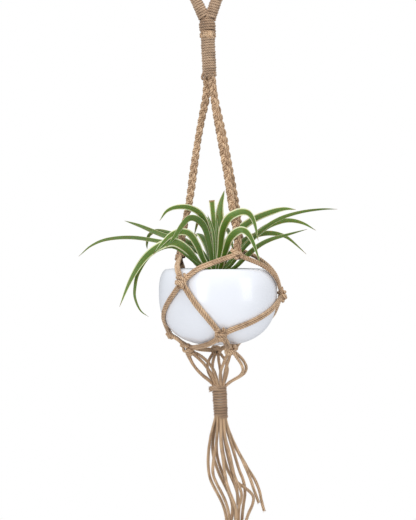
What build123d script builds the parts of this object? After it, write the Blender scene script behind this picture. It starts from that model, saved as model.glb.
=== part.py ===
"""Hanging macrame planter: a jute cord hanger with its glazed pot and spider plant.

Millimetres, +Z up. The origin is where the hook touches the inside of the hanging eye, and the
whole planter hangs from there along -Z. -Y is the front. An azimuth is in degrees, seen from
above, from the front (-Y) towards +X.
"""
import os
from math import cos, pi, radians, sin, tan

from build123d import *

os.makedirs("parts", exist_ok=True)

# ---- cords -------------------------------------------------------------------------------------
CORD = 4.5                # one jute cord
PAIR_GAP = 4.8            # between the two cords of a net pair, centre to centre
PLAIT = 11.0              # one plaited leg
BEND_SHARE = 0.45         # share of the shorter run that an arc may take
PLAY = 0.3                # gap between rope surfaces that turn against each other

# ---- hanging eye and neck ------------------------------------------------------------------------
EYE_BEND = 27.0           # radius of the eye's top, at the middle of the rope
EYE_ROPE = 18.0           # wrapped rope of the eye
EYE_BUNDLE = 12.0         # cord bundle inside it
ARM_ANGLE = 22.0          # each arm of the eye, from the plumb line
APEX_Z = EYE_ROPE / 2 - EYE_BEND - EYE_BEND / sin(radians(ARM_ANGLE))
UPPER_WRAP_R = 14.3
UPPER_WRAP_END_Z = -102.5
WAIST_Z = -107.0
WAIST_R = 11.5
LOWER_WRAP_R = 12.3
LOWER_WRAP_TOP_Z = -111.0
LOWER_WRAP_END_Z = -179.0
BUNDLE_R = 9.3            # twelve cords side by side

# ---- pot -----------------------------------------------------------------------------------------
POT_RIM_CENTRE = (2.0, 0.0, -503.6)
POT_TILT = 2.2            # the pot sits a little down on its right
POT_R = 100.5             # at the belly
POT_BELLY = 38.0          # from the rim down to the belly
POT_DEPTH = 130.0         # of the full curve below the rim
POT_SHOULDER_R = 84.0     # where the outside meets the rim
POT_MOUTH_R = 80.0
POT_LIP_DROP = 3.0        # of the inner edge of the rim
POT_FOOT_R = 32.0
POT_WALL = 4.5
SHOULDER_POWER = 2.3      # roundness of the shoulder and of the bowl
BOWL_POWER = 2.5
SOIL_DROP = 17.0

# ---- gather wrap and tassel ----------------------------------------------------------------------
GATHER_X = -3.0
GATHER_R = 12.5
GATHER_TOP_Z = -708.0     # pivots at the two ends of the gather wrap
GATHER_END_Z = -747.0
PIVOT_BALL_R = 8.7

# ---- knots ---------------------------------------------------------------------------------------
LEG_KNOT_R = 8.0
NET_KNOT_R = 6.8
KNOT_LIFT = 7.6           # knot centre above the pot


def save(shape, node):
    export_step(shape, f"parts/{node}.step")


def run_turn(points, index):
    """The shorter of the two runs at a route point, and the turn there in degrees."""
    before = Vector(*points[index]) - Vector(*points[index - 1])
    after = Vector(*points[index + 1]) - Vector(*points[index])
    return min(before.length, after.length), before.get_angle(after)


def tube(points, width=CORD, name=""):
    """A round rope along a route: straight runs joined by tangent arcs."""
    radii = []
    for index in range(1, len(points) - 1):
        run, turn = run_turn(points, index)
        radii.append(BEND_SHARE * run / tan(radians(turn) / 2))
    path = FilletPolyline(*points, radius=radii)
    end = Plane(origin=path @ 0, z_dir=path % 0)
    rope = sweep(end * Circle(width / 2), path=path)
    expected = pi * width**2 / 4 * path.length
    print(f"{name}: length {path.length:.0f}, smallest radius {min(radii):.0f}, "
          f"volume ratio {rope.volume / expected:.3f}")
    return rope.solid()


def side_by_side(points, centre):
    """The routes of two cords that lie next to each other on a surface round a centre."""
    routes = ([], [])
    last = len(points) - 1
    for index, point in enumerate(points):
        here = Vector(*point)
        along = Vector(*points[min(index + 1, last)]) - Vector(*points[max(index - 1, 0)])
        across = along.cross(here - Vector(*centre)).normalized() * (PAIR_GAP / 2)
        for route, side in zip(routes, (1, -1)):
            route.append(tuple(here + across * side))
    return routes


def trimmed(solid, *tools):
    """A solid without what lies inside its neighbours: the largest piece that is left."""
    for tool in tools:
        left = solid - tool
        solid = max(left.solids(), key=lambda piece: piece.volume)
    return solid


def ball(centre, radius):
    return (Pos(*centre) * Sphere(radius)).solid()


def upright(radius, low, high, x=0.0):
    """A cylinder about a plumb line, between two heights."""
    return Pos(x, 0, low) * extrude(Circle(radius), high - low)


# ---- the pot's curves ------------------------------------------------------------------------------
def bowl_curve(radius, depth, power, step_angle):
    """A point of a superellipse quarter: (radius, depth) at an angle of 0 to 90 degrees."""
    a = radians(step_angle)
    return radius * abs(cos(a)) ** (2 / power), depth * abs(sin(a)) ** (2 / power)


def outer_radius(drop):
    """Outer radius of the pot at a depth below its rim."""
    if drop < POT_BELLY:
        rise = max(0.0, (POT_BELLY - max(0.0, drop)) / POT_BELLY)
        bulge = (1 - rise**SHOULDER_POWER) ** (1 / SHOULDER_POWER)
        return POT_SHOULDER_R + (POT_R - POT_SHOULDER_R) * bulge
    fall = (drop - POT_BELLY) / (POT_DEPTH - POT_BELLY)
    return POT_R * max(0.0, 1 - fall**BOWL_POWER) ** (1 / BOWL_POWER)


def on_pot(azimuth, drop, lift):
    """A point over the pot's outside, square off its surface, in the part's frame."""
    slope = Vector(outer_radius(drop + 1) - outer_radius(drop - 1), 2).normalized()
    radius = outer_radius(drop) + lift * slope.Y
    drop = drop - lift * slope.X
    x = radius * sin(radians(azimuth))
    y = -radius * cos(radians(azimuth))
    tilt = radians(POT_TILT)
    cx, cy, cz = POT_RIM_CENTRE
    return (cx + x * cos(tilt) - drop * sin(tilt), cy + y, cz - x * sin(tilt) - drop * cos(tilt))


POT_PLACE = Pos(*POT_RIM_CENTRE) * Rot(0, POT_TILT, 0)
POT_MIDDLE = (0.0, 0.0, -563.6)


def pot_profile(radius, mouth, rim_drop, depth, foot):
    """Half section of a bowl, from the mouth's edge down to the foot and in to the axis."""
    above, below = [], []
    for step in range(0, 91, 15):
        bulge, rise = bowl_curve(radius - mouth, POT_BELLY - rim_drop, SHOULDER_POWER, 90 - step)
        above.append((mouth + bulge, rise - POT_BELLY))
    for step in range(0, 76, 15):
        wide, fall = bowl_curve(radius, depth - POT_BELLY, BOWL_POWER, step)
        below.append((wide, -POT_BELLY - fall))
    foot_fall = (1 - (foot / radius) ** BOWL_POWER) ** (1 / BOWL_POWER)
    below.append((foot, -POT_BELLY - (depth - POT_BELLY) * foot_fall))
    down = (0, -1)
    shoulder = Spline(*above, tangents=((1, 0), down))
    bowl = Spline(*below)
    flat = Line(below[-1], (0, below[-1][1]))
    axis = Line((0, below[-1][1]), (0, above[0][1]))
    top = Line((0, above[0][1]), above[0])
    return Plane.XZ * make_face(Curve() + [shoulder, bowl, flat, axis, top])


def make_pot():
    body = revolve(pot_profile(POT_R, POT_SHOULDER_R, 0, POT_DEPTH, POT_FOOT_R), Axis.Z)
    room = revolve(
        pot_profile(POT_R - POT_WALL, POT_MOUTH_R, POT_LIP_DROP, POT_DEPTH - POT_WALL,
                    POT_FOOT_R - POT_WALL), Axis.Z)
    mouth = Pos(0, 0, -POT_LIP_DROP) * extrude(Circle(POT_MOUTH_R), POT_LIP_DROP * 2)
    below_soil = Pos(0, 0, -SOIL_DROP - 200) * extrude(Circle(POT_R), 200)
    pot = POT_PLACE * (body - room - mouth)
    soil = POT_PLACE * (room & below_soil)
    return pot.solid(), soil.solid()


# ---- the plant: each leaf is (name, widest, points from the crown to the tip) ---------------------
CROWN = (-2.0, 0.0, -519.0)
CROWN_R = 13.0
LEAF_THICK = 0.9
LEAVES = [
    ("far_left", 6, [(-8, 2, -512), (-22, 5, -484), (-48, 14, -464), (-84, 23, -456),
                     (-141, 30, -445), (-186, 34, -446), (-215, 36, -456), (-238, 36, -474)]),
    ("left_back", 8, [(-8, 5, -512), (-22, 13, -478), (-50, 24, -456), (-90, 36, -443),
                      (-130, 46, -425), (-157, 50, -415)]),
    ("left_hook", 6, [(-7, 8, -512), (-24, 22, -474), (-62, 38, -447), (-98, 50, -435),
                      (-115, 54, -441), (-120, 56, -456), (-120, 56, -466)]),
    ("front_left", 12, [(-10, -3, -513), (-30, -11, -495), (-48, -19, -470), (-70, -27, -456),
                        (-95, -35, -462), (-122, -43, -483), (-145, -48, -518), (-164, -50, -560)]),
    ("pale_hanging", 6, [(-9, -6, -514), (-40, -20, -494), (-78, -45, -468), (-114, -64, -486),
                         (-135, -70, -516), (-140, -72, -544), (-131, -72, -568),
                         (-118, -70, -579)]),
    ("upper_left", 9, [(-4, -3, -507), (-8, -6, -470), (-13, -8, -440), (-22, -12, -413),
                       (-39, -17, -400), (-61, -20, -397), (-80, -22, -403), (-93, -22, -419)]),
    ("arch", 9, [(-6, -6, -508), (-10, -13, -470), (-17, -19, -436), (-29, -23, -420),
                 (-43, -26, -417), (-56, -28, -429), (-70, -30, -449), (-84, -32, -465)]),
    ("low_arch", 10, [(-8, -7, -511), (-22, -15, -488), (-31, -20, -464), (-43, -24, -444),
                      (-57, -26, -439), (-73, -30, -443), (-90, -36, -458), (-105, -40, -475)]),
    ("stub", 10, [(-2, 2, -506), (-1, 3, -450), (-4, 3, -387)]),
    ("thin_left", 4, [(-3, -6, -507), (-3, -17, -452), (-6, -19, -431), (-12, -20, -412)]),
    ("thin_right", 4, [(0, -7, -507), (3, -14, -448), (3, -15, -430), (2, -15, -411)]),
    ("upright", 13, [(2, 5, -508), (7, 9, -460), (8, 9, -425), (10, 8, -398), (18, 7, -371)]),
    ("kinked_high", 11, [(1, -6, -508), (7, -24, -472), (11, -43, -443), (21, -64, -422),
                         (35, -71, -413), (48, -73, -411), (58, -72, -416), (65, -71, -431),
                         (70, -69, -460)]),
    ("kinked_low", 11, [(4, -7, -510), (14, -36, -478), (22, -60, -456), (32, -75, -445),
                        (43, -81, -441), (52, -81, -446), (61, -80, -462), (72, -79, -498)]),
    ("right_broad", 11, [(3, 2, -509), (13, 6, -472), (24, 8, -453), (42, 10, -437),
                         (70, 12, -420), (99, 14, -410), (120, 15, -406), (139, 16, -408)]),
    ("right_long", 6, [(6, -1, -512), (24, -2, -499), (44, -4, -474), (66, -6, -452),
                       (89, -8, -434), (115, -10, -421), (148, -12, -413), (182, -14, -410),
                       (207, -15, -411)]),
    ("right_arch", 8, [(6, 3, -512), (22, 8, -494), (50, 17, -466), (82, 22, -439),
                       (108, 24, -428), (130, 25, -426), (152, 26, -432), (173, 27, -445)]),
    ("right_droop", 8, [(4, 6, -512), (18, 16, -486), (43, 28, -461), (69, 36, -449),
                        (90, 39, -446), (110, 41, -449), (128, 43, -458), (156, 45, -485)]),
    ("right_low", 7, [(7, -4, -513), (30, -10, -503), (51, -16, -484), (71, -20, -468),
                      (92, -24, -458), (120, -28, -451), (154, -32, -443)]),
    ("back_left", 10, [(-4, 8, -512), (-14, 34, -470), (-24, 64, -446), (-34, 96, -442),
                       (-41, 122, -456), (-46, 140, -484)]),
    ("back_right", 9, [(-1, 8, -512), (6, 36, -462), (12, 64, -437), (20, 96, -434),
                       (27, 124, -450), (32, 144, -482)]),
    ("back_tall", 9, [(-3, 6, -508), (-7, 26, -452), (-12, 44, -424), (-20, 68, -412),
                      (-30, 92, -420), (-38, 112, -444)]),
]


def make_leaf(widest, points):
    """A thin tapered strip: rectangles across the leaf at each point, joined straight."""
    last = len(points) - 1
    sections = []
    for index, point in enumerate(points):
        along = Vector(*points[min(index + 1, last)]) - Vector(*points[max(index - 1, 0)])
        across = Vector(points[-1][1] - points[0][1], points[0][0] - points[-1][0], 0)
        share = index / last
        width = max(1.6, widest * min(1.0, 0.55 + share * 1.5, 2.2 * (1 - share) + 0.12))
        frame = Plane(origin=point, x_dir=across - along * (across.dot(along) / along.dot(along)),
                      z_dir=along)
        sections.append(frame * Rectangle(width, LEAF_THICK))
    return loft(sections, ruled=True)


def make_plant(soil):
    """The crown above the soil, and round it the leaves, each cut where it meets another."""
    pieces = [trimmed(ball(CROWN, CROWN_R), soil)]
    for _, widest, points in LEAVES:
        leaf = trimmed(make_leaf(widest, points), soil)
        pieces.append(trimmed(leaf, *[other for other in pieces if (leaf & other)]))
    return Compound(children=pieces)


# ---- knots of the net ------------------------------------------------------------------------------
LEG_KNOTS = {"left": (-61, 0, -480), "front_right": (34, -60, -481), "back_right": (42, 62, -474)}
ROW_1 = {"front_left": on_pot(326, 22, KNOT_LIFT), "right": on_pot(90, 45, KNOT_LIFT),
         "back_left": on_pot(210, 25, KNOT_LIFT)}
ROW_2 = {"front": on_pot(3, 103, KNOT_LIFT), "left": on_pot(270, 107, KNOT_LIFT),
         "back_right": on_pot(150, 104, KNOT_LIFT)}
ROW_3 = {"left": (-54, -15, -638), "front_right": (17, -46, -638), "back": (-6, 48, -646)}

# ---- legs: plaits from the neck down to the leg knots ----------------------------------------------
LEGS = {
    "left": [(-7, 0, -170), (-8, 0, -205), (-14, 1, -240), (-24, 2, -284), (-33, 1, -334),
             (-40, -1, -378), (-49, 0, -416), (-58, 1, -450), LEG_KNOTS["left"]],
    "front_right": [(3.5, -6, -170), (5, -8, -205), (9, -15, -245), (16, -25, -288),
                    (23, -36, -340), (27, -45, -388), (34, -54, -430), (37, -60, -460),
                    LEG_KNOTS["front_right"]],
    "back_right": [(3.5, 6, -170), (6, 9, -205), (13, 17, -245), (22, 27, -290),
                   (30, 38, -340), (36, 48, -388), (41, 56, -430), (43, 61, -458),
                   LEG_KNOTS["back_right"]],
}

# ---- net pairs: from each knot to the two below it ---------------------------------------------------
ON_GLAZE = 4.3            # middle of a cord above the pot, at a route point


def pot_route(*places):
    """Route points over the pot from (azimuth, drop) places."""
    return [on_pot(azimuth, drop, ON_GLAZE) for azimuth, drop in places]


ROW_1_PAIRS = {
    "left": [
        [LEG_KNOTS["left"], (-64, -26, -488), (-66, -52, -495), (-64, -74, -504),
         (-61.4, -83.3, -512.6), ROW_1["front_left"]],
        [LEG_KNOTS["left"], (-63, 27, -488), (-62, 55, -494), (-60, 77, -502),
         (-57, 89, -514), ROW_1["back_left"]],
    ],
    "front_right": [
        [LEG_KNOTS["front_right"], (12, -72, -487), (-9, -81, -494), (-29, -86, -500),
         (-45, -90, -511), ROW_1["front_left"]],
        [LEG_KNOTS["front_right"], (55, -62, -490), (75, -56, -499), (92.5, -44, -513),
         (102.5, -27, -531), ROW_1["right"]],
    ],
    "back_right": [
        [LEG_KNOTS["back_right"], (59, 58, -480), (79, 50, -493), (95, 38, -508),
         (106, 21, -527), ROW_1["right"]],
        [LEG_KNOTS["back_right"], (24, 75, -483), (4, 84, -492), (-16, 90, -499),
         (-36, 95, -510), ROW_1["back_left"]],
    ],
}
ROW_2_PAIRS = {
    "front_left": [
        [ROW_1["front_left"], *pot_route((316, 40), (303, 60), (289, 80), (277, 97)),
         ROW_2["left"]],
        [ROW_1["front_left"], *pot_route((333, 40), (340, 57), (348, 74), (356, 90)),
         ROW_2["front"]],
    ],
    "right": [
        [ROW_1["right"], *pot_route((76, 56), (60, 68), (43, 80), (27, 90), (13, 97)),
         ROW_2["front"]],
        [ROW_1["right"], *pot_route((97, 59), (103, 73), (112, 86), (124, 95), (138, 101)),
         ROW_2["back_right"]],
    ],
    "back_left": [
        [ROW_1["back_left"], *pot_route((221, 43), (234, 63), (247, 84), (259, 100)),
         ROW_2["left"]],
        [ROW_1["back_left"], *pot_route((200, 43), (189, 62), (176, 81), (163, 96)),
         ROW_2["back_right"]],
    ],
}
ROW_3_PAIRS = {
    "left": [
        [ROW_2["left"], (-77, -6, -621), (-67, -11, -631), ROW_3["left"]],
        [ROW_2["left"], (-76, 15, -621), (-63, 29, -633), (-46, 39, -640), (-27, 45, -644),
         ROW_3["back"]],
    ],
    "front": [
        [ROW_2["front"], (-5, -77, -620), (-17, -61, -630), (-30, -44, -635), (-43, -28, -637),
         ROW_3["left"]],
        [ROW_2["front"], (9, -78, -620), (13, -67, -630), ROW_3["front_right"]],
    ],
    "back_right": [
        [ROW_2["back_right"], (43, 59, -625), (38, 38, -635), (32, 16, -640), (29, -8, -642),
         (25, -28, -641), ROW_3["front_right"]],
        [ROW_2["back_right"], (33, 73, -624), (21, 65, -636), (8, 56, -643), ROW_3["back"]],
    ],
}

# ---- gather cords: four from each bottom knot into the top of the gather wrap -----------------------
GATHER_CORDS = {
    "left": [
        [(-57, -13, -642), (-52, -8, -655), (-44, -5, -669), (-33, -2, -682), (-21, 1, -692),
         (-12, 2.4, -702)],
        [(-54, -17, -642), (-50, -15, -657), (-42, -12, -671), (-31, -9, -684),
         (-20, -6, -693), (-12, -2.6, -702)],
        [(-50, -18, -642), (-40, -20, -650), (-29, -19, -661), (-20, -16, -674),
         (-13, -11, -687), (-9.6, -6.8, -702)],
        [(-50, -13, -641), (-38, -13, -646), (-26, -13, -655), (-15, -14, -668),
         (-8, -12, -684), (-5.4, -9, -702)],
    ],
    "front_right": [
        [(14, -43, -642), (8, -37, -655), (3, -30, -667), (-1, -22, -679), (-2, -14, -690),
         (-0.6, -9.3, -702)],
        [(18, -42, -643), (14, -35, -656), (10, -27, -667), (7, -19, -678), (5, -12, -689),
         (3.6, -6.8, -702)],
        [(21, -48, -642), (28, -45, -653), (35, -40, -664), (38, -31, -675), (34, -21, -684),
         (24, -12, -691), (13, -5.5, -697), (6.5, -2.6, -704)],
        [(22, -43, -641), (31, -38, -649), (39, -32, -659), (44, -22, -671), (41, -12, -681),
         (31, -4, -689), (18, 1, -695), (6.5, 2.6, -704)],
    ],
    "back": [
        [(-11, 46, -649), (-19, 41, -660), (-23, 34, -670), (-22, 25, -680), (-17, 15, -690),
         (-9.8, 7, -702)],
        [(-8, 44, -651), (-13, 37, -663), (-14, 30, -674), (-12, 21, -684), (-8, 14, -692),
         (-5.4, 9.3, -702)],
        [(-3, 44, -651), (-3, 37, -663), (-1, 29, -673), (0, 21, -683), (0, 14, -692),
         (-0.6, 9.3, -702)],
        [(-1, 47, -650), (7, 43, -660), (11, 35, -670), (12, 25, -680), (9, 15, -690),
         (3.8, 7, -702)],
    ],
}

# ---- tassel cords: twelve bare ends below the gather wrap -------------------------------------------
TASSEL_CORDS = [
    [(-10.3, -1, -751), (-15, -1, -768), (-21, 0, -786), (-26, 1, -812), (-28, 1, -836),
     (-26, 1, -860), (-16, 2, -882), (-6, 3, -902), (0, 3, -924), (1, 2, -944)],
    [(-7.8, -5.7, -751), (-9, -8, -770), (-12, -10, -800), (-18, -11, -825), (-21, -11, -850),
     (-14, -12, -868), (-4, -12, -888), (3, -11, -908), (6, -10, -934), (5, -10, -958)],
    [(-9.4, 3.7, -751), (-13, 5, -770), (-17, 7, -790), (-20, 8, -814), (-15, 9, -838),
     (-8, 9, -858), (1, 9, -878), (9, 9, -896), (12, 8, -915), (8, 8, -936)],
    [(-3, -7.4, -751), (-3, -10, -772), (-5, -13, -800), (-2, -15, -824), (0, -15, -850),
     (4, -16, -874), (12, -17, -894), (18, -17, -914), (14, -17, -938), (12, -17, -962)],
    [(-5.3, -1.3, -751), (-5, -3, -772), (-3, -5, -800), (0, -7, -826), (7, -8, -852),
     (20, -9, -867), (36, -10, -878), (48, -11, -890), (46, -12, -904), (37, -13, -920),
     (31, -14, -938), (29, -14, -956)],
    [(1.8, -5.7, -751), (2, -8, -770), (3, -9, -792), (9, -10, -814), (13, -11, -838),
     (17, -13, -859), (26, -16, -877), (28, -17, -893), (21, -17, -908)],
    [(-0.7, -1.3, -751), (0, -1, -772), (2, 0, -796), (6, 0, -820), (11, 0, -845),
     (17, -1, -867), (21, -3, -886), (20, -5, -906)],
    [(4.3, -1.3, -751), (6, -1, -769), (9, 0, -788), (15, 0, -809), (20, 1, -829),
     (25, 1, -849), (32, 1, -866), (34, 0, -888), (29, -1, -910), (26, -2, -934),
     (25, -2, -956)],
    [(3.4, 3.7, -751), (6, 5, -769), (12, 6, -787), (19, 7, -805), (27, 7, -822),
     (35, 7, -842), (43, 6, -862), (49, 5, -884), (56, 5, -905)],
    [(-0.5, 7, -751), (3, 10, -771), (11, 13, -792), (21, 14, -813), (32, 15, -832),
     (42, 15, -852), (52, 14, -868), (59, 14, -888), (61, 14, -905), (65, 14, -921)],
    [(-5.5, 7, -751), (-8, 10, -771), (-12, 14, -796), (-13, 16, -822), (-7, 17, -846),
     (1, 17, -868), (8, 18, -890), (14, 17, -914), (16, 16, -939)],
    [(-3, 2.7, -751), (-4, 5, -772), (-5, 7, -796), (-3, 8, -820), (3, 8, -842),
     (12, 9, -862), (20, 9, -884), (23, 8, -908), (20, 8, -930), (21, 8, -950)],
]


# ---- hanging eye and neck ----------------------------------------------------------------------------
def eye_ring(radius):
    """The teardrop loop of the eye as one rope of a given radius."""
    centre_z = EYE_ROPE / 2 - EYE_BEND
    side = radians(ARM_ANGLE)
    foot = (0, 0, APEX_Z)
    tangent = (EYE_BEND * cos(side), 0, centre_z - EYE_BEND * sin(side))
    mid = radians(90 - ARM_ANGLE) / 2
    through = (EYE_BEND * cos(mid), 0, centre_z + EYE_BEND * sin(mid))
    top = (0, 0, centre_z + EYE_BEND)
    path = Curve() + [Line(foot, tangent), ThreePointArc(tangent, through, top)]
    half = sweep(Plane(origin=foot, z_dir=path.wire() % 0) * Circle(radius), path=path.wire())
    return half + mirror(half, about=Plane.YZ)


def make_eye():
    pivot = ball((0, 0, APEX_Z), UPPER_WRAP_R + PLAY)
    core = eye_ring(EYE_BUNDLE / 2)
    wrap = eye_ring(EYE_ROPE / 2) - core
    save(trimmed(core, pivot), "eye_core")
    save(trimmed(wrap, pivot), "eye_wrap")


def make_neck():
    waist_pocket = ball((0, 0, WAIST_Z), WAIST_R + PLAY)
    upper = upright(UPPER_WRAP_R, UPPER_WRAP_END_Z, APEX_Z) + ball((0, 0, APEX_Z), UPPER_WRAP_R)
    save(trimmed(upper, waist_pocket), "neck_upper_wrap")
    save(ball((0, 0, WAIST_Z), WAIST_R), "neck_waist_knot")
    core = trimmed(upright(BUNDLE_R, LOWER_WRAP_END_Z, LOWER_WRAP_TOP_Z), waist_pocket)
    outside = upright(LOWER_WRAP_R, LOWER_WRAP_END_Z, LOWER_WRAP_TOP_Z)
    save(core, "neck_core")
    save(trimmed(outside, core, waist_pocket), "neck_lower_wrap")
    return outside


def make_legs(neck):
    for side, points in LEGS.items():
        knot = ball(LEG_KNOTS[side], LEG_KNOT_R)
        leg = tube(points, PLAIT, f"leg_plait_{side}")
        save(trimmed(leg, neck, knot), f"leg_plait_{side}")
        save(knot, f"leg_knot_{side}")


# ---- net ---------------------------------------------------------------------------------------------
AT_KNOT = {}              # cords made so far, by the knot they enter


def remember(cord, ends):
    for end in ends:
        AT_KNOT.setdefault(end, []).append(cord)


def beside(cord, ends):
    """Cords at the same knots that this one would cut into."""
    near = [other for end in ends for other in AT_KNOT.get(end, [])]
    return [other for other in near if (cord & other)]


def make_net():
    knots = {}
    for row, places in (("leg", LEG_KNOTS), ("1", ROW_1), ("2", ROW_2), ("3", ROW_3)):
        radius = LEG_KNOT_R if row == "leg" else NET_KNOT_R
        for name, place in places.items():
            knots[place] = ball(place, radius)
            if row != "leg":
                save(knots[place], f"net_knot_{row}_{name}")
    for row, groups in (("1", ROW_1_PAIRS), ("2", ROW_2_PAIRS), ("3", ROW_3_PAIRS)):
        for name, pairs in groups.items():
            cords = []
            for points in pairs:
                ends = points[0], points[-1]
                for route in side_by_side(points, POT_MIDDLE):
                    cord = tube(route, name=f"net_pairs_{row}_{name}")
                    cord = trimmed(cord, *[knots[end] for end in ends], *beside(cord, ends))
                    cords.append(cord)
                    remember(cord, ends)
            save(Compound(children=cords), f"net_pairs_{row}_{name}")


# ---- gather wrap and tassel ----------------------------------------------------------------------------
def make_gather():
    top, end = (GATHER_X, 0, GATHER_TOP_Z), (GATHER_X, 0, GATHER_END_Z)
    for name, routes in GATHER_CORDS.items():
        knot = ball(ROW_3[name], NET_KNOT_R)
        for number, route in enumerate(routes, 1):
            cord = tube(route, name=f"gather_cord_{name}_{number}")
            cord = trimmed(cord, knot, ball(top, GATHER_R + PLAY), *beside(cord, [ROW_3[name]]))
            save(cord, f"gather_cord_{name}_{number}")
            remember(cord, [ROW_3[name]])
    wrap = upright(GATHER_R, GATHER_END_Z, GATHER_TOP_Z, GATHER_X)
    wrap = wrap + ball(top, GATHER_R) + ball(end, GATHER_R)
    for place, node in ((top, "gather_core"), (end, "tassel_core")):
        wrap = wrap - ball(place, PIVOT_BALL_R + PLAY)
        save(ball(place, PIVOT_BALL_R), node)
    save(wrap.solid(), "gather_wrap")
    for number, route in enumerate(TASSEL_CORDS, 1):
        cord = tube(route, name=f"tassel_cord_{number}")
        save(trimmed(cord, ball(end, GATHER_R + PLAY)), f"tassel_cord_{number}")


make_eye()
make_legs(make_neck())
make_net()
make_gather()
pot_shell, potting_soil = make_pot()
save(pot_shell, "pot")
save(potting_soil, "soil")
save(make_plant(potting_soil), "spider_plant")
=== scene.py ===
"""Hanging macrame planter: jute eye, wrapped neck, three plaited legs, knotted net, glazed pot,
spider plant, gather wrap and tassel. Tables are in millimetres and are scaled to metres once.
"""
from math import ceil, cos, pi, radians, sin, tau

import bpy
import numpy as np
from mathutils import Matrix, Vector, noise


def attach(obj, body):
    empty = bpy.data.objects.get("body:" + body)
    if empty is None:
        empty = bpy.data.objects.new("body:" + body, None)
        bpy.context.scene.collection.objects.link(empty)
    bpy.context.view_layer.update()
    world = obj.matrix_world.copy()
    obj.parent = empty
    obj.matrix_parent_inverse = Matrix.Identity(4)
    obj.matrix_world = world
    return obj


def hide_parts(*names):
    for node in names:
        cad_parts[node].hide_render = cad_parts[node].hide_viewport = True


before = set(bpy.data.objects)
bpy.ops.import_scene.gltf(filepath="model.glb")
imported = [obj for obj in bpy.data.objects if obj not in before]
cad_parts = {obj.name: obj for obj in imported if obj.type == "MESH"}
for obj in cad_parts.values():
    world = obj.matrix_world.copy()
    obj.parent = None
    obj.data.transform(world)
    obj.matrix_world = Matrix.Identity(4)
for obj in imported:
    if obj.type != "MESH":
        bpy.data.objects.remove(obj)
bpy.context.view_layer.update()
MM = 0.001
rng = np.random.default_rng(7)

# ---- measures shared with the CAD model ----
CORD = 4.5
PAIR_GAP = 4.8
EYE_BEND = 27.0
EYE_ROPE = 18.0
ARM_ANGLE = 22.0
EYE_CENTRE_Z = EYE_ROPE / 2 - EYE_BEND
APEX_Z = EYE_CENTRE_Z - EYE_BEND / sin(radians(ARM_ANGLE))
UPPER_WRAP_R = 14.3
UPPER_WRAP_END_Z = -102.5
WAIST_Z = -107.0
LOWER_WRAP_R = 12.3
LOWER_WRAP_TOP_Z = -111.0
LOWER_WRAP_END_Z = -179.0
POT_RIM_CENTRE = (2.0, 0.0, -503.6)
POT_TILT = 2.2
POT_R = 100.5
POT_BELLY = 38.0
POT_DEPTH = 130.0
POT_SHOULDER_R = 84.0
POT_MOUTH_R = 80.0
POT_LIP_DROP = 3.0
POT_FOOT_R = 32.0
POT_WALL = 4.5
SHOULDER_POWER = 2.3
BOWL_POWER = 2.5
SOIL_DROP = 17.0
POT_MIDDLE = (0.0, 0.0, -563.6)
GATHER_X = -3.0
GATHER_TOP_Z = -708.0
GATHER_END_Z = -747.0
KNOT_LIFT = 7.6
ON_GLAZE = 4.3
CROWN = (-2.0, 0.0, -519.0)

# ---- rope surface ----
PLIES = 3
SIDES = 12                # vertices round a cord, four to a ply
LAY = 13.0                # one turn of the plies
RING_STEP = 1.1           # between vertex rings along a cord
PLY_SHAPE = (0.70, 0.93, 1.0, 0.93)
HAIR_STEP = 2.4           # cord length for each loose fibre
HAIR_LONG = 2.0
HAIR_WIDE = 0.16
FRAY_HAIRS = 26
FRAY_LONG = 4.2
WRAP_PITCH = 4.4
WRAP_CORD = 3.7           # a cord pulled tight round a bundle
FULLNESS = 1.27           # loose fibres make a cord look fuller than its core
SWELL_WAVES = (9.0, 4.3)  # a cord's thickness changes along it in these two waves
END_HEIGHT = 0.4          # ply height at the middle of a cut end, which the painted ply shading darkens a little
NO_PLY = 0.8              # ply map of a piece that isn't cord, where the painted ply shading barely changes its colour


# ---- camera ----
def new_object(name, data):
    thing = bpy.data.objects.new(name, data)
    bpy.context.scene.collection.objects.link(thing)
    return thing


def make_camera():
    """At the height of the planter's middle, rolled by the tilt that the pot shows."""
    place = Vector((0.0, -2.2, -0.474))
    aim = Vector((-0.0144, 0.0, -0.4884))
    up_hint = Vector((0.0384, 0.0, 0.99926))
    ahead = (aim - place).normalized()
    right = ahead.cross(up_hint).normalized()
    up = right.cross(ahead)
    data = bpy.data.cameras.new("camera")
    data.sensor_width = 36.0
    data.lens = 89.6
    data.clip_end = 50.0
    camera = new_object("camera", data)
    turn = Matrix((right, up, -ahead)).transposed().to_4x4()
    camera.matrix_world = Matrix.Translation(place) @ turn
    bpy.context.scene.camera = camera


# ---- materials ----
def new_material(name):
    material = bpy.data.materials.new(name)
    material.use_nodes = True
    tree = material.node_tree
    shader = tree.nodes["Principled BSDF"]
    return material, tree, shader


def feed(tree, socket, value):
    """Link a socket to an output, or set its value."""
    if isinstance(value, bpy.types.NodeSocket):
        tree.links.new(value, socket)
    else:
        socket.default_value = value


def add(tree, kind, **settings):
    """A node with its inputs fed and its other settings made, all by name."""
    node = tree.nodes.new(kind)
    for key, value in settings.items():
        if key in node.inputs:
            feed(tree, node.inputs[key], value)
        else:
            setattr(node, key, value)
    return node


def set_inputs(node, **values):
    """Feed inputs by name: sheen_weight feeds Sheen Weight."""
    for name, value in values.items():
        feed(node.id_data, node.inputs[name.replace("_", " ").title()], value)


def ramp(tree, source, *stops):
    """A colour ramp from (place, (r, g, b)) stops."""
    node = tree.nodes.new("ShaderNodeValToRGB")
    elements = node.color_ramp.elements
    while len(elements) < len(stops):
        elements.new(0.5)
    for element, (place, colour) in zip(elements, stops):
        element.position = place
        element.color = (*colour, 1.0)
    tree.links.new(source, node.inputs["Fac"])
    return node.outputs["Color"]


def calculate(tree, operation, *values):
    node = add(tree, "ShaderNodeMath", operation=operation)
    for socket, value in zip(node.inputs, values):
        feed(tree, socket, value)
    return node.outputs[0]


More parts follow.
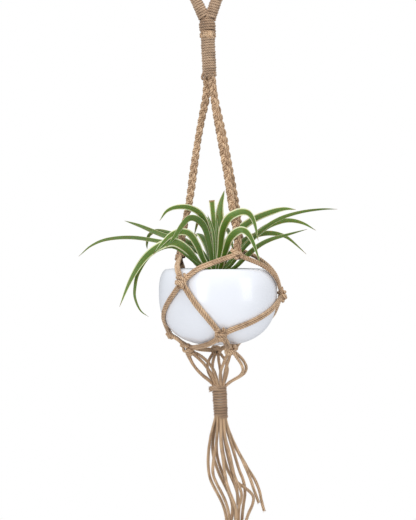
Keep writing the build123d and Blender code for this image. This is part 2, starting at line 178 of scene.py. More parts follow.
def mix(tree, share, first, second, mode="MIX"):
    node = tree.nodes.new("ShaderNodeMix")
    node.data_type = "RGBA"
    node.blend_type = mode
    for socket, value in ((node.inputs[0], share), (node.inputs[6], first), (node.inputs[7], second)):
        feed(tree, socket, value)
    return node.outputs[2]


def bump(tree, shader, height, strength, distance):
    node = add(tree, "ShaderNodeBump", Strength=strength, Distance=distance, Height=height)
    set_inputs(shader, normal=node.outputs["Normal"])


def map_axes(tree, name):
    """The two numbers of a piece's lay map or ply map."""
    uv = add(tree, "ShaderNodeUVMap", uv_map=name)
    split = add(tree, "ShaderNodeSeparateXYZ", Vector=uv.outputs["UV"])
    return split.outputs["X"], split.outputs["Y"]


def lay_noise(tree, across, along, detail=3.0):
    """Streaks that follow a piece's own length, from its lay map."""
    uv = add(tree, "ShaderNodeUVMap", uv_map="lay")
    place = add(tree, "ShaderNodeMapping", Scale=(across, along, 1.0), Vector=uv.outputs["UV"])
    streak = add(tree, "ShaderNodeTexNoise", Scale=1.0, Detail=detail, Roughness=0.65,
                 Vector=place.outputs["Vector"])
    return streak.outputs["Fac"]


def object_noise(tree, scale, detail=2.0):
    place = add(tree, "ShaderNodeTexCoord")
    cloud = add(tree, "ShaderNodeTexNoise", Scale=scale, Detail=detail,
                Vector=place.outputs["Object"])
    return cloud.outputs["Fac"]


def jute_material(name, dark, middle, pale):
    """Twisted jute: pale and dark fibres along the plies, slow changes along a cord, and painted ply
    shading: shade in the grooves, light on the crests.
    """
    material, tree, shader = new_material(name)
    fibres = lay_noise(tree, 26.0, 0.55)
    colour = ramp(tree, fibres, (0.30, dark), (0.50, middle), (0.68, pale))
    clouds = object_noise(tree, 55.0)
    tint = ramp(tree, clouds, (0.32, (0.74, 0.69, 0.65)), (0.66, (1.10, 1.07, 1.03)))
    height, chance = map_axes(tree, "ply")
    # painted shade in the grooves between the plies and painted light on their crests, from the ply
    # map's height
    painted_ply_shading = ramp(tree, height, (0.0, (0.30, 0.22, 0.17)), (0.55, (0.92, 0.90, 0.88)),
                  (1.0, (1.10, 1.10, 1.10)))
    own = ramp(tree, chance, (0.0, (0.84, 0.79, 0.75)), (0.5, (0.99, 0.98, 0.97)),
               (1.0, (1.12, 1.12, 1.12)))
    for layer in (tint, painted_ply_shading, own):
        colour = mix(tree, 1.0, colour, layer, "MULTIPLY")
    set_inputs(shader, base_color=colour, roughness=0.82, sheen_weight=0.25, sheen_roughness=0.45)
    bump(tree, shader, fibres, 0.55, 0.0006)
    return material


def glaze_material():
    """White glaze: a deep gloss over a faintly uneven body, with a few pale specks."""
    material, tree, shader = new_material("white_glaze")
    body = ramp(tree, object_noise(tree, 9.0), (0.3, (0.83, 0.85, 0.90)), (0.7, (0.88, 0.89, 0.925)))
    place = add(tree, "ShaderNodeTexCoord")
    cells = add(tree, "ShaderNodeTexVoronoi", Scale=140.0, Vector=place.outputs["Object"])
    specks = ramp(tree, cells.outputs["Distance"], (0.0, (0.88, 0.87, 0.86)), (0.055, (1, 1, 1)))
    set_inputs(shader, base_color=mix(tree, 1.0, body, specks, "MULTIPLY"), roughness=0.30,
               coat_weight=0.35, coat_roughness=0.16)
    bump(tree, shader, object_noise(tree, 28.0), 0.10, 0.0012)
    return material


def soil_material():
    material, tree, shader = new_material("potting_mix")
    grain = object_noise(tree, 420.0, 6.0)
    colour = ramp(tree, grain, (0.3, (0.018, 0.011, 0.007)), (0.55, (0.055, 0.034, 0.021)),
                  (0.75, (0.13, 0.085, 0.05)))
    set_inputs(shader, base_color=colour, roughness=0.95)
    bump(tree, shader, grain, 0.8, 0.001)
    return material


def leaf_material(name, margin, green, vein):
    """Spider plant: a green blade with paler margins, parallel veins and a dry tip.

    The lay map runs 0 to 1 across the blade and 0 to 1 along it.
    """
    material, tree, shader = new_material(name)
    across, along = map_axes(tree, "lay")
    apart = calculate(tree, "ABSOLUTE", calculate(tree, "SUBTRACT", across, 0.5))
    wander = calculate(tree, "MULTIPLY_ADD", lay_noise(tree, 14.0, 3.0), 0.16, apart)
    veins = ramp(tree, lay_noise(tree, 46.0, 0.9), (0.36, vein), (0.62, green))
    edges = ramp(tree, wander, (margin, (0, 0, 0)), (margin + 0.07, (1, 1, 1)))
    blade = mix(tree, edges, veins, (0.78, 0.78, 0.50, 1.0))
    tip = ramp(tree, along, (0.965, (0, 0, 0)), (0.995, (1, 1, 1)))
    dried = mix(tree, tip, blade, (0.30, 0.19, 0.08, 1.0))
    tone = ramp(tree, object_noise(tree, 14.0), (0.3, (0.72, 0.76, 0.70)), (0.7, (1.12, 1.1, 1.05)))
    set_inputs(shader, base_color=mix(tree, 1.0, dried, tone, "MULTIPLY"), roughness=0.42,
               subsurface_weight=0.12, subsurface_scale=0.002)
    bump(tree, shader, lay_noise(tree, 40.0, 0.5), 0.35, 0.0005)
    return material


# ---- routes ----
def spline_points(points):
    """The points of the smooth line that a route's points control, from millimetres to metres."""
    data = bpy.data.curves.new("route", "CURVE")
    data.dimensions = "3D"
    line = data.splines.new("NURBS")
    line.points.add(len(points) - 1)
    for place, point in zip(line.points, points):
        place.co = (*[value * MM for value in point], 1.0)
    line.order_u = 3
    line.use_endpoint_u = True
    line.resolution_u = 24
    holder = bpy.data.objects.new("route", data)
    mesh = bpy.data.meshes.new_from_object(holder)
    found = np.array([vertex.co[:] for vertex in mesh.vertices])
    bpy.data.objects.remove(holder)
    bpy.data.curves.remove(data)
    bpy.data.meshes.remove(mesh)
    return found


def run_along(path):
    """Distance from the start to each point of a path."""
    steps = np.linalg.norm(np.diff(path, axis=0), axis=1)
    return np.concatenate(([0.0], np.cumsum(steps)))


def look_up(rows, run, wanted):
    """The rows at wanted distances along their run."""
    return np.stack([np.interp(wanted, run, rows[:, axis]) for axis in range(3)], axis=1)


def evenly(path, step):
    """A path's points, evenly spaced along it."""
    run = run_along(path)
    count = max(3, ceil(run[-1] / step) + 1)
    wanted = np.linspace(0.0, run[-1], count)
    return look_up(path, run, wanted)


def unit(rows):
    return rows / np.maximum(np.linalg.norm(rows, axis=-1, keepdims=True), 1e-12)


def frames(path, hint=(1.0, 0.0, 0.0)):
    """Tangents and two cross directions along a path, carried along without twist."""
    tangents = unit(np.gradient(path, axis=0))
    first = np.empty_like(path)
    across = np.array(hint, float)
    if abs(tangents[0] @ across) > 0.9:
        across = np.array((0.0, 1.0, 0.0))
    for index, tangent in enumerate(tangents):
        across = across - tangent * (across @ tangent)
        across = across / np.linalg.norm(across)
        first[index] = across
    return tangents, first, np.cross(tangents, first)


# ---- meshes ----
def ring_quads(rings, sides, start=0, flipped=False):
    """Quads from each ring of vertices to the next, turned over if flipped."""
    faces = []
    for base in range(start, start + (rings - 1) * sides, sides):
        for side in range(sides):
            here, after = base + side, base + (side + 1) % sides
            if flipped:
                faces.append((here, here + sides, after + sides, after))
            else:
                faces.append((here, after, after + sides, here + sides))
    return faces


def closed_tube(rings, sides, flipped=False):
    """Quads between rings, and fans to the two end points that follow the last ring."""
    faces = ring_quads(rings, sides, flipped=flipped)
    low, high = rings * sides, rings * sides + 1
    last = (rings - 1) * sides
    for side in range(sides):
        after = (side + 1) % sides
        if flipped:
            faces += [(low, side, after), (high, last + after, last + side)]
        else:
            faces += [(low, after, side), (high, last + side, last + after)]
    return faces


class Parts:
    """Vertices, faces, lay map and ply map of one piece, gathered from its parts."""

    def __init__(self):
        self.vertices, self.faces, self.lay, self.ply, self.count = [], [], [], [], 0

    def put(self, vertices, faces, lay, ply=None):
        self.vertices.append(np.asarray(vertices, float))
        self.faces.extend([tuple(int(i) + self.count for i in face) for face in faces])
        self.lay.append(np.asarray(lay, float))
        self.ply.append(np.full((len(vertices), 2), NO_PLY) if ply is None else ply)
        self.count += len(vertices)

    def piece(self, name, material, body, slot, *nodes):
        mesh = bpy.data.meshes.new(name)
        mesh.from_pydata(np.concatenate(self.vertices).tolist(), [], self.faces)
        mesh.update()
        corners = np.empty(len(mesh.loops), np.int32)
        mesh.loops.foreach_get("vertex_index", corners)
        for label, values in (("lay", self.lay), ("ply", self.ply)):
            places = np.concatenate(values)[corners]
            mesh.uv_layers.new(name=label).data.foreach_set("uv", places.ravel())
        mesh.polygons.foreach_set("use_smooth", np.ones(len(mesh.polygons), bool))
        mesh.materials.append(material)
        piece = new_object(name, mesh)
        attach(piece, body)
        if nodes:
            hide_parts(*nodes)
        return piece


def spike(parts, root, tip, bend, wide):
    """One loose fibre: a closed three-sided spike with a bend in it."""
    reach = tip - root
    side = np.cross(reach, bend)
    if np.linalg.norm(side) < 1e-9:
        side = np.cross(reach, (0.3, 0.5, 0.8))
    side = side / np.linalg.norm(side)
    other = unit(np.cross(reach, side))
    corners = []
    for centre, share in ((root, 1.0), (root + reach * 0.55 + bend, 0.75)):
        for turn in (0.0, tau / 3, 2 * tau / 3):
            corners.append(centre + (side * cos(turn) + other * sin(turn)) * wide * share / 2)
    corners.append(tip)
    faces = [(2, 1, 0), (0, 1, 4, 3), (1, 2, 5, 4), (2, 0, 3, 5), (3, 4, 6), (4, 5, 6), (5, 3, 6)]
    parts.put(corners, faces, np.full((7, 2), rng.random() * 9))


def put_cord(parts, path, width=CORD, frayed=False, hairy=1.0, uneven=0.05):
    """A three-ply cord along a path in metres, with loose fibres, and a frayed end if it is bare."""
    path = evenly(path, RING_STEP * MM)
    run = run_along(path)
    tangents, first, second = frames(path)
    start = rng.random() * tau
    turns = start + run * (tau / (LAY * MM * width / CORD))
    steps = np.arange(SIDES) * (tau / SIDES)
    shape = np.array([PLY_SHAPE[side % (SIDES // PLIES)] for side in range(SIDES)])
    slow, quick = SWELL_WAVES
    swell = 1.0 + uneven * np.sin(run / MM / slow + start) * np.cos(run / MM / quick + 2 * start)
    radius = width * MM / 2 * FULLNESS * shape[None, :] * swell[:, None]
    angle = turns[:, None] + steps[None, :]
    spread = (first[:, None, :] * np.cos(angle)[..., None]
              + second[:, None, :] * np.sin(angle)[..., None])
    rings = path[:, None, :] + spread * radius[..., None]
    count = len(path)
    vertices = np.concatenate((rings.reshape(-1, 3), path[:1], path[-1:]))
    lay = np.empty((count, SIDES, 2))
    lay[..., 0] = np.minimum(steps, tau - steps)[None, :] / pi + start
    lay[..., 1] = (run / (CORD * MM))[:, None] + start * 5
    lay = np.concatenate((lay.reshape(-1, 2), lay[0, :1], lay[-1, :1]))
    # ply map: the height across the plies, 0 in a groove and 1 on a crest, from which jute_material
    # paints shade in the grooves and light on the crests; then a random tone for the cord
    height = np.tile((shape - shape.min()) / (shape.max() - shape.min()), count)
    height = np.concatenate((height, (END_HEIGHT, END_HEIGHT)))
    ply = np.stack((height, np.full(len(height), rng.random())), axis=1)
    parts.put(vertices, closed_tube(count, SIDES), lay, ply)
    put_hairs(parts, path, tangents, first, second, width, hairy)
    if frayed:
        put_fray(parts, path[-1], tangents[-1], first[-1], second[-1], width)


def put_hairs(parts, path, tangents, first, second, width, hairy):
    """Loose fibres that stand off a cord, more of them where it is hairy."""
    total = run_along(path)[-1]
    for _ in range(int(total / (HAIR_STEP * MM) * hairy)):
        index = int(rng.integers(1, len(path) - 1))
        turn = rng.random() * tau
        out = first[index] * cos(turn) + second[index] * sin(turn)
        root = path[index] + out * width * MM * 0.40
        slant = tangents[index] * rng.uniform(-1.3, 1.3)
        tip = root + unit(out + slant) * HAIR_LONG * MM * rng.uniform(0.5, 1.0)
        curl = np.cross(out, tangents[index]) * rng.uniform(-0.4, 0.4) * MM
        spike(parts, root, tip, curl, HAIR_WIDE * MM)


def put_fray(parts, end, tangent, first, second, width):
    """Fibres that spread from a cut end."""
    for _ in range(FRAY_HAIRS):
        turn = rng.random() * tau
        share = rng.random() ** 0.5
        out = first * cos(turn) + second * sin(turn)
        root = end - tangent * 0.8 * MM + out * share * width * MM * 0.38
        tip = root + unit(tangent + out * share * 0.75) * FRAY_LONG * MM * rng.uniform(0.45, 1.0)
        spike(parts, root, tip, out * 0.25 * MM, HAIR_WIDE * 2.2 * MM)


# ---- eye and neck ----
COIL_STEPS = 48           # points in one turn of a coil
EYE_FOOT = 12.5           # how far up the arms the eye's wrap starts
EYE_COIL_RADII = [8.4, 7.6, 6.8, 6.8, 6.8, 7.6, 8.4]
EYE_BUNDLE_R = 3.0
WAIST_COIL_R = 9.9
WAIST_KNOT_R = 10.0
WAIST_TURNS = ((1.5, 0.4, -101.6), (-1.8, 2.6, -105.4), (1.3, 4.2, -109.2))  # lean, phase, top
WAIST_KNOTS = (250, 292, 20, 110, 180)                                       # degrees round it
WAIST_BUNDLE = ((6.0, 8, 7.0), (1.9, 4, 7.0))       # rings of (radius, cords, half their length)
PIVOT_BUNDLE = ((6.2, 8, 5.0), (1.9, 4, 6.5))
LOWER_BUNDLE = ((5.8, 9, 34.5),)
LOWER_BUNDLE_Z = (LOWER_WRAP_TOP_Z + LOWER_WRAP_END_Z - 1.0) / 2


def coil(centres, radius, pitch=WRAP_PITCH, lean=0.0, phase=0.0):
    """A cord wound round a line: radius may change along it, and lean tips every turn."""
    centres = evenly(np.asarray(centres, float), 0.5 * MM)
    run = run_along(centres)
    tangents, first, second = frames(centres)
    radius = np.interp(np.linspace(0, 1, len(run)), np.linspace(0, 1, len(radius)), radius)
    length = run[-1]
    count = ceil(length / (pitch * MM) * COIL_STEPS)
    wanted = np.linspace(0, length, count)
    turn = wanted / (pitch * MM) * tau + phase
    middle, along, across, beyond = [look_up(rows, run, wanted)
                                     for rows in (centres, tangents, first, second)]
    around = across * np.cos(turn)[:, None] + beyond * np.sin(turn)[:, None]
    wide = np.interp(wanted, run, radius)[:, None] * MM
    wobble = 1.0 + (0.030 * np.sin(turn * 0.37 + 1.3) + 0.022 * np.sin(turn * 0.93))[:, None]
    return middle + around * wide * wobble + along * (lean * MM * np.cos(turn))[:, None]


def plumb(low, high, x=0.0, y=0.0):
    """A plumb line from high to low, in metres."""
    return [(x * MM, y * MM, high * MM), (x * MM, y * MM, low * MM)]


def make_eye(jute):
    """The loop over the hook: a coil round a bundle of five visible cords."""
    side = radians(ARM_ANGLE)
    arm = EYE_BEND / np.tan(side)
    turns = np.linspace(-side, pi + side, 60)
    bow = np.stack((EYE_BEND * np.cos(turns), 0 * turns,
                    EYE_CENTRE_Z + EYE_BEND * np.sin(turns)), axis=1)
    start = EYE_FOOT / arm
    foot = np.array((0.0, 0.0, APEX_Z))
    low_right = foot + (bow[0] - foot) * start
    low_left = foot + (bow[-1] - foot) * start
    line = np.concatenate((low_right[None], bow, low_left[None])) * MM
    parts = Parts()
    put_cord(parts, coil(line, EYE_COIL_RADII), width=WRAP_CORD)
    for turn in np.linspace(0, tau, 6)[:-1]:
        inside = evenly(line, 3 * MM)
        _, first, second = frames(inside)
        offset = (first * cos(turn) + second * sin(turn)) * EYE_BUNDLE_R * MM
        put_cord(parts, inside + offset, hairy=0)
    parts.piece("hanging_eye", jute, "eye", "jute_wrap", "eye_wrap", "eye_core")


def stand_cords(parts, height, rings, middle=0.0):
    """Upright cords inside a wrap or knot, in rings of (radius, cords, half their length)."""
    for radius, count, half in rings:
        for turn in np.linspace(0, tau, count + 1)[:-1]:
            x, y = middle + radius * cos(turn), radius * sin(turn)
            put_cord(parts, np.array(plumb(height - half, height + half, x, y)), hairy=0)


def make_upper_wrap(jute):
    parts = Parts()
    heights = np.linspace(APEX_Z + 12.0, UPPER_WRAP_END_Z, 12)
    rise = np.maximum(heights - APEX_Z, 0.0)
    radii = np.sqrt(UPPER_WRAP_R**2 - rise**2) - CORD / 2
    put_cord(parts, coil(plumb(UPPER_WRAP_END_Z + CORD / 2, heights[0]), radii, lean=0.5),
             width=WRAP_CORD)
    parts.piece("upper_wrap", jute, "neck", "jute_wrap", "neck_upper_wrap")


def make_waist_knot(jute):
    """Three leaning rings with small knots on them, round the bundle."""
    parts = Parts()
    for lean, phase, high in WAIST_TURNS:
        ring = coil(plumb(high - 2.4, high), [WAIST_COIL_R] * 2, pitch=2.2, lean=lean, phase=phase)
        put_cord(parts, ring, width=4.2)
    for turn in WAIST_KNOTS:
        x, y = WAIST_KNOT_R * cos(radians(turn)), WAIST_KNOT_R * sin(radians(turn))
        put_knot(parts, (x, y, WAIST_Z), (0, 0, 1), (x, y, 0), 0.52)
    stand_cords(parts, WAIST_Z, WAIST_BUNDLE)
    parts.piece("waist_knot", jute, "waist", "jute_cord", "neck_waist_knot")


def make_lower_wrap(jute):
    """The long wrap, its bundle, and the loop that shows under it at the left."""
    parts = Parts()
    put_cord(parts, coil(plumb(LOWER_WRAP_END_Z + CORD / 2, LOWER_WRAP_TOP_Z - CORD / 2),
                         [LOWER_WRAP_R - CORD / 2] * 2, lean=0.35), width=WRAP_CORD)
    stand_cords(parts, LOWER_BUNDLE_Z, LOWER_BUNDLE)
    put_cord(parts, spline_points([(-9, -6, -170), (-12.5, -7, -176), (-12.5, -8, -182),
                                   (-8, -9, -183), (-7, -8, -176), (-6, -6, -170)]), width=3.6)
    parts.piece("lower_wrap", jute, "sling", "jute_wrap", "neck_lower_wrap", "neck_core")


# ---- knots ----
# One cord of a square knot, in cord widths: to the side, up, and out. The other is its half turn.
KNOT_CORD = [
    (-0.55, 2.5, 0.2), (-1.1, 1.9, 0.1), (-1.5, 1.15, 0.3), (-0.6, 0.95, 1.05), (0.75, 0.85, 1.05),
    (1.5, 0.3, 0.3), (1.25, -0.25, -0.65), (0.3, -0.25, -1.05), (-1.0, -0.3, -0.65),
    (-1.5, -0.6, 0.25), (-0.75, -0.85, 1.05), (0.5, -1.0, 1.05), (1.25, -1.4, 0.3),
    (0.7, -2.2, 0.0),
]


def put_knot(parts, centre, up, out, size):
    """A square knot of two cords about a centre."""
    up = Vector(up).normalized()
    out = Vector(out)
    out = (out - up * out.dot(up)).normalized()
    side = up.cross(out)
    for half in (1, -1):
        route = []
        for across, rise, lift in KNOT_CORD:
            offset = side * across * half + up * rise + out * lift * half
            route.append(tuple(Vector(centre) + offset * CORD * size))
        put_cord(parts, spline_points(route), width=CORD * min(1.0, 0.35 + 0.65 * size))


def knot_directions(centre):
    """Up and out at a knot on or near the pot."""
    out = (Vector(centre) - Vector(POT_MIDDLE)).normalized()
    up = (Vector((0, 0, 1)) - out * out.z).normalized()
    return up, out


# ---- pot ----
def outer_radius(drop):
    """Outer radius of the pot at a depth below its rim."""
    if drop < POT_BELLY:
        rise = max(0.0, (POT_BELLY - max(0.0, drop)) / POT_BELLY)
        bulge = (1 - rise**SHOULDER_POWER) ** (1 / SHOULDER_POWER)
        return POT_SHOULDER_R + (POT_R - POT_SHOULDER_R) * bulge
    fall = (drop - POT_BELLY) / (POT_DEPTH - POT_BELLY)
    return POT_R * max(0.0, 1 - fall**BOWL_POWER) ** (1 / BOWL_POWER)


def on_pot(azimuth, drop, lift):
    """A point over the pot's outside, square off its surface."""
    slope = Vector((outer_radius(drop + 1) - outer_radius(drop - 1), 2)).normalized()
    radius = outer_radius(drop) + lift * slope.y
    drop = drop - lift * slope.x
    x = radius * sin(radians(azimuth))
    y = -radius * cos(radians(azimuth))
    tilt = radians(POT_TILT)
    cx, cy, cz = POT_RIM_CENTRE
    return (cx + x * cos(tilt) - drop * sin(tilt), cy + y, cz - x * sin(tilt) - drop * cos(tilt))


def curve_quarter(radius, depth, power, turn):
    """A point on a quarter of a rounded shape, squarer for a higher power."""
    return (radius * abs(cos(turn)) ** (2 / power), depth * abs(sin(turn)) ** (2 / power))


def pot_side(radius, mouth, lip, depth, foot):
    """One side of the pot's wall as (radius, height) from the mouth down to the foot."""
    side = []
    for turn in np.linspace(pi / 2, 0, 26):
        bulge, rise = curve_quarter(radius - mouth, POT_BELLY - lip, SHOULDER_POWER, turn)
        side.append((mouth + bulge, rise - POT_BELLY))
    for turn in np.linspace(0, pi / 2, 60)[1:]:
        wide, fall = curve_quarter(radius, depth - POT_BELLY, BOWL_POWER, turn)
        if wide < foot:
            break
        side.append((wide, -POT_BELLY - fall))
    return side


def revolve(parts, profile, segments=224):
    """A closed body from a profile that starts and ends on the axis."""
    turns = np.arange(segments) * (tau / segments)
    rings = []
    for radius, height in profile[1:-1]:
        rings.append(np.stack((radius * np.cos(turns), radius * np.sin(turns),
                               np.full(segments, height)), axis=1))
    vertices = np.concatenate([*rings, [(0, 0, profile[0][1])], [(0, 0, profile[-1][1])]])
    faces = closed_tube(len(rings), segments, flipped=True)
    parts.put(pot_to_world(vertices), faces, vertices[:, :2] * 0.01)


def pot_to_world(vertices):
    """From millimetres about the upright rim to metres about the tilted one."""
    tilt = radians(POT_TILT)
    x, y, z = np.asarray(vertices, float).T
    moved = (POT_RIM_CENTRE[0] + x * cos(tilt) + z * sin(tilt), POT_RIM_CENTRE[1] + y,
             POT_RIM_CENTRE[2] - x * sin(tilt) + z * cos(tilt))
    return np.stack(moved, axis=1) * MM


def make_pot(glaze):
    """Glazed bowl with a rolled lip and a turned foot."""
    outside = pot_side(POT_R, POT_SHOULDER_R, 0.0, POT_DEPTH, POT_FOOT_R)
    inside = pot_side(POT_R - POT_WALL, POT_MOUTH_R, POT_LIP_DROP, POT_DEPTH - POT_WALL,
                      POT_FOOT_R - POT_WALL)
    lip_mid, lip_half = (POT_SHOULDER_R + POT_MOUTH_R) / 2, (POT_SHOULDER_R - POT_MOUTH_R) / 2
    lip = []
    for turn in np.linspace(0.15, pi - 0.05, 10):
        lip.append((lip_mid + lip_half * cos(turn), -1.9 + 1.9 * sin(turn)))
    bottom = outside[-1][1]
    foot = [(POT_FOOT_R - 1.0, bottom - 0.6), (POT_FOOT_R - 4.5, bottom - 0.6),
            (POT_FOOT_R - 6.0, bottom + 1.6), (0.0, bottom + 1.6)]
    outer = [point for point in outside if point[1] < -0.9]
    inner = [point for point in inside if point[1] < -3.4]
    floor = inner[-1][1]
    profile = [(0.0, floor), (inner[-1][0] - 3.0, floor), *inner[::-1], *lip[::-1], *outer, *foot]
    parts = Parts()
    revolve(parts, profile)
    parts.piece("pot_glazed", glaze, "sling", "glaze", "pot")


SOIL_R = 88.0
SOIL_RINGS = 26
SOIL_SEGMENTS = 96
SOIL_UNDER = 60.0         # from the surface down to the point that closes it
CRUMBS = 420
CRUMB_SIZE = (0.8, 2.6)


def make_soil(soil):
    """Crumbly potting mix: a rough disc with loose crumbs on it."""
    rings, segments = SOIL_RINGS, SOIL_SEGMENTS
    vertices = [(0, 0, -SOIL_DROP)]
    for ring in range(1, rings + 1):
        for step in range(segments):
            turn = tau * step / segments
            wide = SOIL_R * ring / rings
            x, y = wide * cos(turn), wide * sin(turn)
            broad = 2.2 * noise.noise(Vector((x, y, 0)) * 0.11)
            fine = 1.3 * noise.noise(Vector((x, y, 9)) * 0.4)
            vertices.append((x, y, -SOIL_DROP - 1.5 + (broad + fine)))
    faces = [(0, 1 + step, 1 + (step + 1) % segments) for step in range(segments)]
    faces += ring_quads(rings, segments, start=1, flipped=True)
    under = len(vertices)
    edge = 1 + (rings - 1) * segments
    vertices.append((0, 0, -SOIL_DROP - SOIL_UNDER))
    faces += [(under, edge + (step + 1) % segments, edge + step) for step in range(segments)]
    parts = Parts()
    parts.put(pot_to_world(vertices), faces, np.zeros((len(vertices), 2)))
    for _ in range(CRUMBS):
        turn, wide = rng.random() * tau, SOIL_R * 0.9 * rng.random() ** 0.5
        put_crumb(parts, (wide * cos(turn), wide * sin(turn), -SOIL_DROP), rng.uniform(*CRUMB_SIZE))
    parts.piece("potting_soil", soil, "sling", "potting_mix", "soil")


def put_crumb(parts, place, size):
    """A small uneven lump of eight faces."""
    corners = np.array([(1, 0, 0), (0, 1, 0), (-1, 0, 0), (0, -1, 0), (0, 0, 1), (0, 0, -1)], float)
    corners = corners * rng.uniform(0.6, 1.1, (6, 1)) * size + np.array(place)
    faces = [(0, 1, 4), (1, 2, 4), (2, 3, 4), (3, 0, 4), (1, 0, 5), (2, 1, 5), (3, 2, 5), (0, 3, 5)]
    parts.put(pot_to_world(corners), faces, np.zeros((6, 2)))


# ---- the plant ----
# Each leaf is (name, widest, points from the crown to the tip). The points are those of the CAD
# model, but for pale_hanging, which lies up to 35 mm away from its CAD route.
LEAVES = [
    ("far_left", 6, [(-8, 2, -512), (-22, 5, -484), (-48, 14, -464), (-84, 23, -456), (-141, 30, -445),
        (-186, 34, -446), (-215, 36, -456), (-238, 36, -474)]),
    ("left_back", 8, [(-8, 5, -512), (-22, 13, -478), (-50, 24, -456), (-90, 36, -443),
        (-130, 46, -425), (-157, 50, -415)]),
    ("left_hook", 6, [(-7, 8, -512), (-24, 22, -474), (-62, 38, -447), (-98, 50, -435),
        (-115, 54, -441), (-120, 56, -456), (-120, 56, -466)]),
    ("front_left", 12, [(-10, -3, -513), (-30, -11, -495), (-48, -19, -470), (-70, -27, -456),
        (-95, -35, -462), (-122, -43, -483), (-145, -48, -518), (-164, -50, -560)]),
    ("pale_hanging", 5, [(-9, -6, -514), (-36, -14, -492), (-72, -22, -464), (-108, -30, -474),
        (-131, -36, -504), (-138, -40, -530), (-138, -42, -548), (-130, -42, -568), (-117, -41, -579)]),
    ("upper_left", 9, [(-4, -3, -507), (-8, -6, -470), (-13, -8, -440), (-22, -12, -413),
        (-39, -17, -400), (-61, -20, -397), (-80, -22, -403), (-93, -22, -419)]),
    ("arch", 9, [(-6, -6, -508), (-10, -13, -470), (-17, -19, -436), (-29, -23, -420),
        (-43, -26, -417), (-56, -28, -429), (-70, -30, -449), (-84, -32, -465)]),
    ("low_arch", 10, [(-8, -7, -511), (-22, -15, -488), (-31, -20, -464), (-43, -24, -444),
        (-57, -26, -439), (-73, -30, -443), (-90, -36, -458), (-105, -40, -475)]),
    ("stub", 10, [(-2, 2, -506), (-1, 3, -450), (-4, 3, -387)]),
    ("thin_left", 4, [(-3, -6, -507), (-3, -17, -452), (-6, -19, -431), (-12, -20, -412)]),
    ("thin_right", 4, [(0, -7, -507), (3, -14, -448), (3, -15, -430), (2, -15, -411)]),
    ("upright", 13, [(2, 5, -508), (7, 9, -460), (8, 9, -425), (10, 8, -398), (18, 7, -371)]),
    ("kinked_high", 11, [(1, -6, -508), (7, -24, -472), (11, -43, -443), (21, -64, -422),
        (35, -71, -413), (48, -73, -411), (58, -72, -416), (65, -71, -431), (70, -69, -460)]),
    ("kinked_low", 11, [(4, -7, -510), (14, -36, -478), (22, -60, -456), (32, -75, -445),
        (43, -81, -441), (52, -81, -446), (61, -80, -462), (72, -79, -498)]),
    ("right_broad", 11, [(3, 2, -509), (13, 6, -472), (24, 8, -453), (42, 10, -437), (70, 12, -420),
        (99, 14, -410), (120, 15, -406), (139, 16, -408)]),
    ("right_long", 6, [(6, -1, -512), (24, -2, -499), (44, -4, -474), (66, -6, -452), (89, -8, -434),
        (115, -10, -421), (148, -12, -413), (182, -14, -410), (207, -15, -411)]),
    ("right_arch", 8, [(6, 3, -512), (22, 8, -494), (50, 17, -466), (82, 22, -439), (108, 24, -428),
        (130, 25, -426), (152, 26, -432), (173, 27, -445)]),
    ("right_droop", 8, [(4, 6, -512), (18, 16, -486), (43, 28, -461), (69, 36, -449), (90, 39, -446),
        (110, 41, -449), (128, 43, -458), (156, 45, -485)]),
    ("right_low", 7, [(7, -4, -513), (30, -10, -503), (51, -16, -484), (71, -20, -468),
        (92, -24, -458), (120, -28, -451), (154, -32, -443)]),
    ("back_left", 10, [(-4, 8, -512), (-14, 34, -470), (-24, 64, -446), (-34, 96, -442),
        (-41, 122, -456), (-46, 140, -484)]),
    ("back_right", 9, [(-1, 8, -512), (6, 36, -462), (12, 64, -437), (20, 96, -434), (27, 124, -450),
        (32, 144, -482)]),
    ("back_tall", 9, [(-3, 6, -508), (-7, 26, -452), (-12, 44, -424), (-20, 68, -412), (-30, 92, -420),
        (-38, 112, -444)]),
]
PLAIN_GREEN = {"far_left", "left_back", "left_hook", "right_long", "right_low", "arch",
               "right_arch", "right_droop", "pale_hanging"}
BLADE = np.array([-1.0, -0.8, -0.45, 0.0, 0.45, 0.8, 1.0])
LEAF_THICK = 0.55
LEAF_FOLD = 0.22


def smooth_line(points, count=44):
    """A smooth line through a leaf's points (Catmull-Rom)."""
    points = np.array(points, float)
    points = np.concatenate((2 * points[:1] - points[1:2], points, 2 * points[-1:] - points[-2:-1]))
    line = []
    spans = len(points) - 3
    for place in np.linspace(0, spans - 1e-6, count):
        index, t = int(place), place - int(place)
        a, b, c, d = points[index:index + 4]
        line.append(0.5 * (2 * b + (c - a) * t + (2 * a - 5 * b + 4 * c - d) * t**2
                           + (3 * b - a - 3 * c + d) * t**3))
    return np.array(line)


def leaf_width(name, widest, share):
    if name == "stub":
        return widest * (0.62 + 0.38 * share)
    swell = min(1.0, 0.55 + 1.2 * share)
    taper = (1.0 - share**3.2) ** 0.85
    return max(0.5, widest * swell * taper * 1.34)


